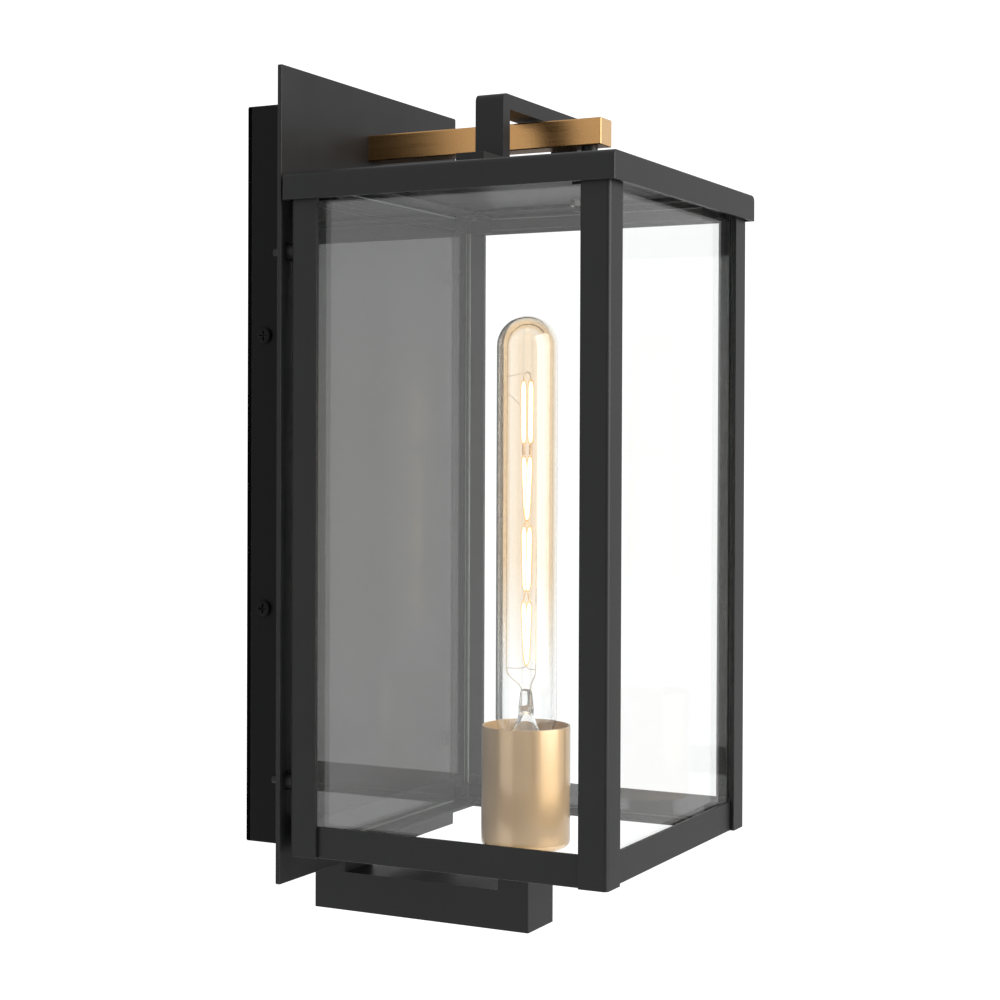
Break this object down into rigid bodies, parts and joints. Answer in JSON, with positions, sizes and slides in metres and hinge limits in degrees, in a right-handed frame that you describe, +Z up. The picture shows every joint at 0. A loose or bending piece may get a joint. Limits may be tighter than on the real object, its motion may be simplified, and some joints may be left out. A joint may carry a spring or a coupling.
{
  "type": "outdoor wall lantern",
  "caption": "Tall square wall lantern: glazed black cage open at the bottom, hung from a brass arm on a flat back plate, with a tubular filament lamp standing in a brass cup.",
  "frame": {"origin": "centre of the ring of the wall gasket and of the mounting bracket's slots, on the wall plane", "axes": "+Z up, +Y into the wall, so the lantern stands out towards -Y, and +X to the right as one faces the wall"},
  "size_m": [0.183, 0.2084, 0.4268],
  "materials": {
    "galvanised_steel": "galvanised",
    "black_powder_coat": "fine satin powder coat",
    "gasket_foam": "closed-cell foam",
    "zinc_plated_steel": "zinc plated",
    "green_ground_screw": "dyed zinc",
    "brass_washer": "plain",
    "pane_glass": "clear, ground edges",
    "aged_brass": "brushed lengthwise, aged",
    "satin_brass_cup": "satin",
    "white_porcelain": "glazed",
    "shell_brass": "drawn",
    "bulb_clear_glass": "clear",
    "bulb_cap_metal": "bright",
    "bulb_black_glass": "black",
    "bulb_solder": "soldered",
    "filament_glow": "lit filament",
    "lead_wire": "drawn wire",
    "bush_nylon": "moulded",
    "wire_black_jacket": "extruded",
    "wire_white_jacket": "extruded",
    "wire_nut_orange": "moulded"
  },
  "bodies": {
    "lantern": {"arm_screw": "zinc_plated_steel", "arm_spacer": "black_powder_coat", "back_plate": "black_powder_coat", "bottom_rail_front": "black_powder_coat", "bottom_rail_left": "black_powder_coat", "bottom_rail_rear": "black_powder_coat", "bottom_rail_right": "black_powder_coat", "box_bush": "bush_nylon", "box_side_screws": "black_powder_coat", "brass_arm": "aged_brass", "cage_standoffs": "black_powder_coat", "corner_clips_bottom": "black_powder_coat", "corner_clips_top": "black_powder_coat", "cover_screws": "black_powder_coat", "ground_screw": "green_ground_screw", "ground_washer": "brass_washer", "holder_body": "white_porcelain", "holder_contact": "shell_brass", "holder_rivets": "zinc_plated_steel", "holder_shell": "shell_brass", "lower_arm": "black_powder_coat", "lower_cover": "black_powder_coat", "mounting_bracket": "galvanised_steel", "nipple": "zinc_plated_steel", "nipple_nuts": "zinc_plated_steel", "pane_front": "pane_glass", "pane_left": "pane_glass", "pane_rear": "pane_glass", "pane_right": "pane_glass", "plate_stud_nuts": "zinc_plated_steel", "post_front_left": "black_powder_coat", "post_front_right": "black_powder_coat", "post_rear_left": "black_powder_coat", "post_rear_right": "black_powder_coat", "riser_screws": "zinc_plated_steel", "roof_cap": "black_powder_coat", "roof_screws": "black_powder_coat", "socket_cup": "satin_brass_cup", "spacer_screw": "zinc_plated_steel", "standoff_nuts": "black_powder_coat", "standoff_screws": "black_powder_coat", "strap": "black_powder_coat", "strap_nuts": "zinc_plated_steel", "strap_screws": "black_powder_coat", "top_rail_front": "black_powder_coat", "top_rail_left": "black_powder_coat", "top_rail_rear": "black_powder_coat", "top_rail_right": "black_powder_coat", "wall_box": "black_powder_coat", "wall_gasket": "gasket_foam", "wire_live": "wire_black_jacket", "wire_neutral": "wire_white_jacket", "wire_nuts": "wire_nut_orange"},
    "lamp_foot": {"bulb_tip": "bulb_solder"},
    "lamp": {"bulb_glass": "bulb_clear_glass", "bulb_base": "bulb_cap_metal", "bulb_insulator": "bulb_black_glass", "bulb_stem": "bulb_clear_glass", "bulb_filaments": "filament_glow", "bulb_leads": "lead_wire"}
  },
  "joints": [
    {"name": "lamp_lift", "type": "slide", "parent": "lantern", "child": "lamp_foot", "axis": [0, 0, 1], "range_m": [0, 0.0219]},
    {"name": "lamp_turn", "type": "hinge", "parent": "lamp_foot", "child": "lamp", "pos_m": [0, -0.11875, 0], "axis": [0, 0, 1], "range_deg": [0, 2160]}
  ],
  "couplings": [
    {"joint": "lamp_lift", "follows": "lamp_turn", "m_per_rad": 0.00057773}
  ]
}
